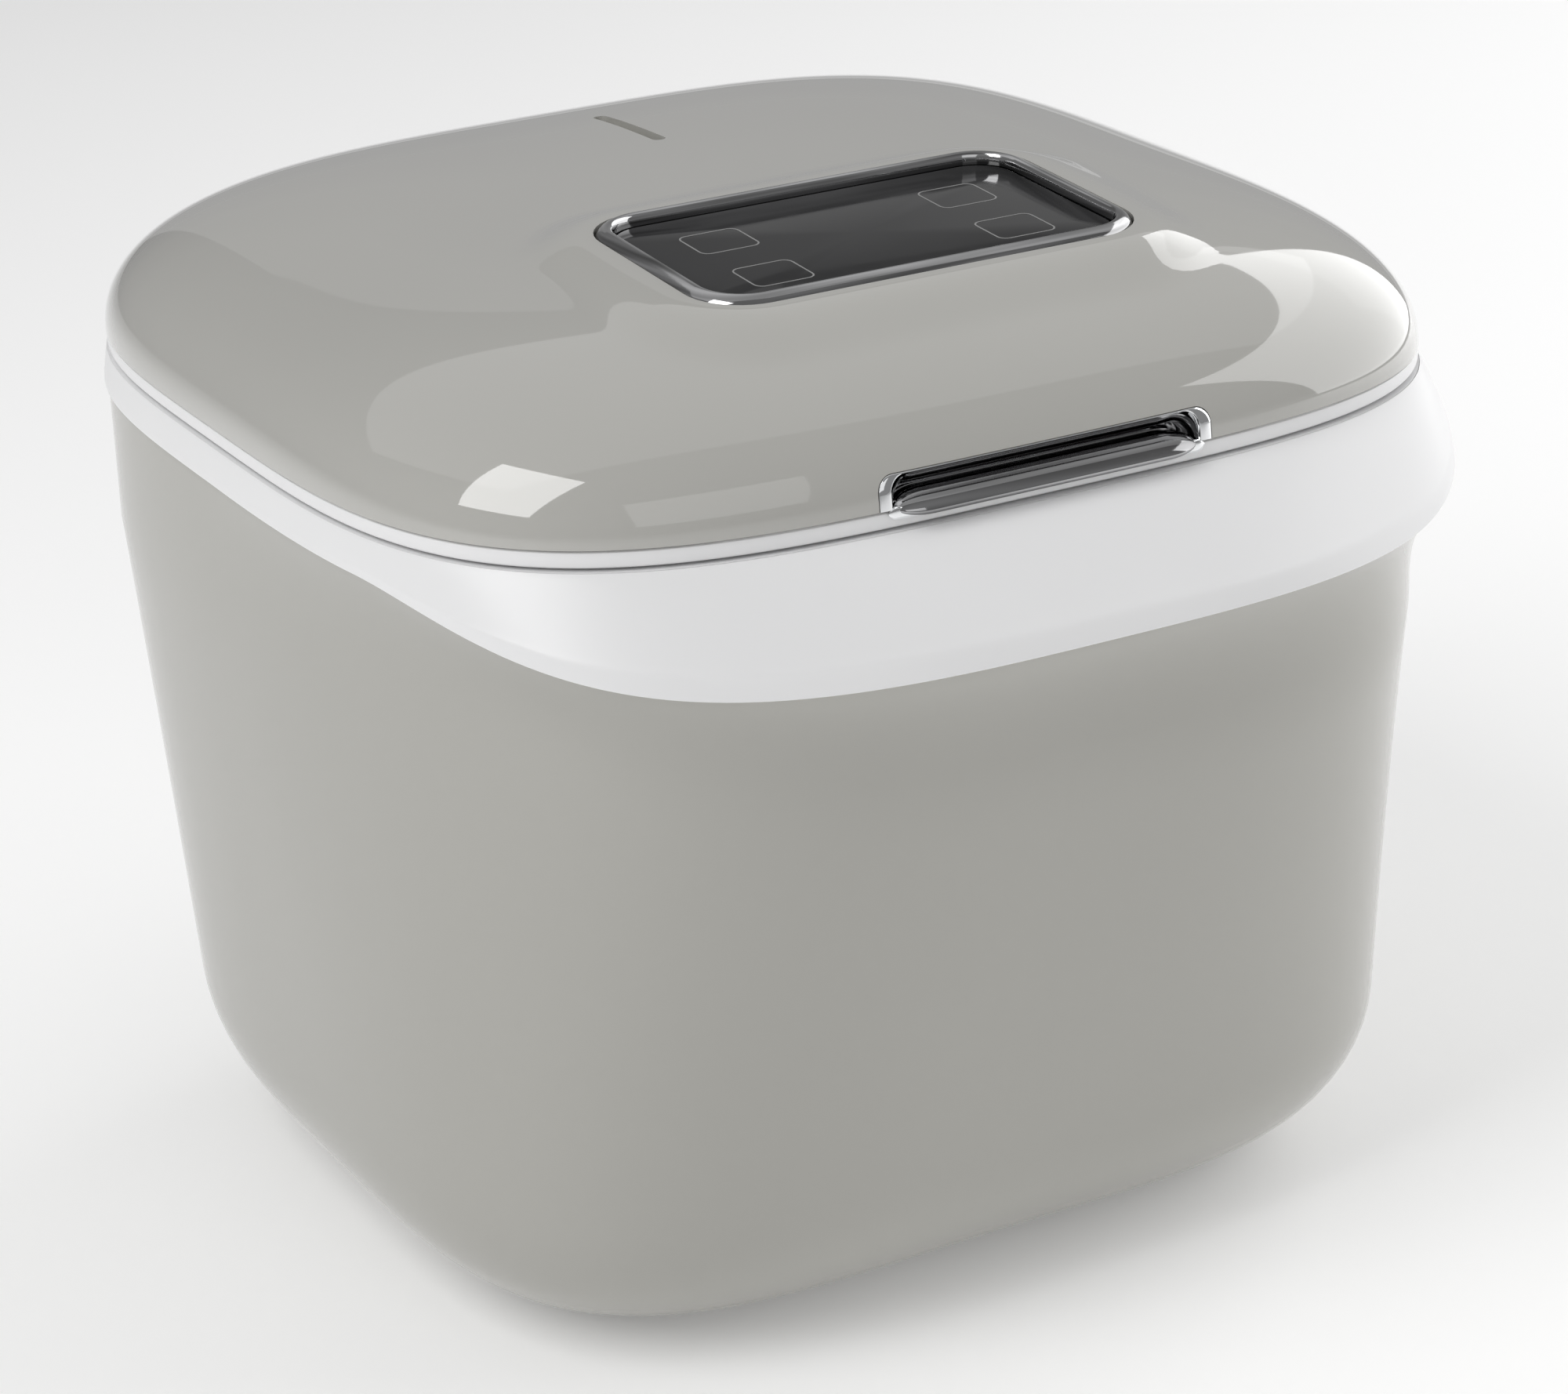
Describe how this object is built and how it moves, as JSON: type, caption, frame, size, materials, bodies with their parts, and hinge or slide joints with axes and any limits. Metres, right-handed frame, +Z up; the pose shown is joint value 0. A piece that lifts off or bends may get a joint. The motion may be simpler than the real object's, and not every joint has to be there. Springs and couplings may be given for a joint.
{
  "type": "countertop uv steriliser and dryer box",
  "caption": "Tapered rounded-square countertop box with a domed hinged lid, touch panel, flared collar, steel tub with lift-out basket, lamps and a warm-air blower.",
  "frame": {"origin": "middle of the box's outline at the floor, under the four feet", "axes": "+Z up, -Y towards the front with the lift bar and the touch panel, +X to the user's right"},
  "size_m": [0.303, 0.3408, 0.2706],
  "materials": {
    "gloss_grey": "high gloss warm grey",
    "satin_grey": "semi-gloss warm grey",
    "white": "satin white",
    "chrome": "bright chrome plate",
    "panel_glass": "black touch glass",
    "window": "smoked translucent plastic",
    "steel": "brushed stainless steel",
    "steel_wire": "electropolished wire",
    "dark_plastic": "fine spark texture",
    "white_plastic": "moulded, slightly glossy",
    "rubber": "matt",
    "silicone": "soft satin",
    "quartz": "clear quartz tube with pale ends",
    "board": "green solder mask",
    "foam": "pleated filter felt",
    "heater": "bare fins"
  },
  "bodies": {
    "box": {"body_shell": "satin_grey", "collar": "white", "chamber_liner": "steel", "floor_grille": "steel", "lower_lamp_guard": "steel", "hinge_pin_left": "steel", "hinge_pin_right": "steel", "blower_motor": "steel", "magnet_keeper": "steel", "base_screw_1": "steel", "base_screw_2": "steel", "base_screw_3": "steel", "base_screw_4": "steel", "base_plate": "dark_plastic", "blower_housing": "dark_plastic", "heater_duct": "dark_plastic", "power_inlet": "dark_plastic", "exhaust_grille": "dark_plastic", "filter_frame": "dark_plastic", "damper_body": "dark_plastic", "lower_lamp_socket_left": "white_plastic", "lower_lamp_socket_right": "white_plastic", "hinge_bracket_left": "white_plastic", "hinge_bracket_right": "white_plastic", "foot_front_left": "rubber", "foot_front_right": "rubber", "foot_rear_left": "rubber", "foot_rear_right": "rubber", "chamber_seal": "silicone", "lower_uv_lamp": "quartz", "main_board": "board", "air_filter": "foam", "heater_core": "heater"},
    "lid": {"lid_shell": "gloss_grey", "lid_ring": "white", "lid_liner": "steel", "panel_bezel": "chrome", "panel_glass": "panel_glass", "display_board": "board", "status_window": "window", "handle_recess": "chrome", "lid_magnet_left": "steel", "lid_magnet_right": "steel", "lid_switch": "dark_plastic", "lift_bar_pin": "steel", "lift_bar_spring": "steel", "upper_uv_lamp": "quartz", "upper_lamp_socket_left": "white_plastic", "upper_lamp_socket_right": "white_plastic", "upper_lamp_guard": "steel", "hinge_arm_left": "white_plastic", "hinge_arm_right": "white_plastic", "damper_rotor": "dark_plastic"},
    "lift_bar": {"lift_bar": "chrome"},
    "fan": {"fan_impeller": "white_plastic", "fan_shaft": "steel"},
    "basket": {"basket": "steel_wire"},
    "handle_left": {"basket_handle_left": "steel_wire"},
    "handle_right": {"basket_handle_right": "steel_wire"},
    "filter_door": {"filter_door": "dark_plastic"}
  },
  "joints": [
    {"name": "lid_hinge", "type": "hinge", "parent": "box", "child": "lid", "pos_m": [0, 0.16592, 0.223], "axis": [-1, 0, 0], "range_deg": [0, 85]},
    {"name": "lift_bar_pivot", "type": "hinge", "parent": "lid", "child": "lift_bar", "pos_m": [0, -0.12857, 0.2305], "axis": [-1, 0, 0], "range_deg": [0, 9], "stiffness_Nm_per_rad": 0.12, "springref_deg": -8.59},
    {"name": "fan_spin", "type": "hinge", "parent": "box", "child": "fan", "pos_m": [-0.042, -0.00007, 0.025], "axis": [0, 0, 1], "continuous": true},
    {"name": "basket_lift", "type": "slide", "parent": "box", "child": "basket", "axis": [0, 0, 1], "range_m": [0, 0.045]},
    {"name": "basket_handle_left_swing", "type": "hinge", "parent": "basket", "child": "handle_left", "pos_m": [-0.0964, 0.00392, 0.1696], "axis": [0, -1, 0], "range_deg": [0, 100]},
    {"name": "basket_handle_right_swing", "type": "hinge", "parent": "basket", "child": "handle_right", "pos_m": [0.0964, 0.00392, 0.1696], "axis": [0, 1, 0], "range_deg": [0, 100]},
    {"name": "filter_door_hinge", "type": "hinge", "parent": "box", "child": "filter_door", "pos_m": [0, 0.1402, 0.05155], "axis": [-1, 0, 0], "range_deg": [0, 90]}
  ]
}
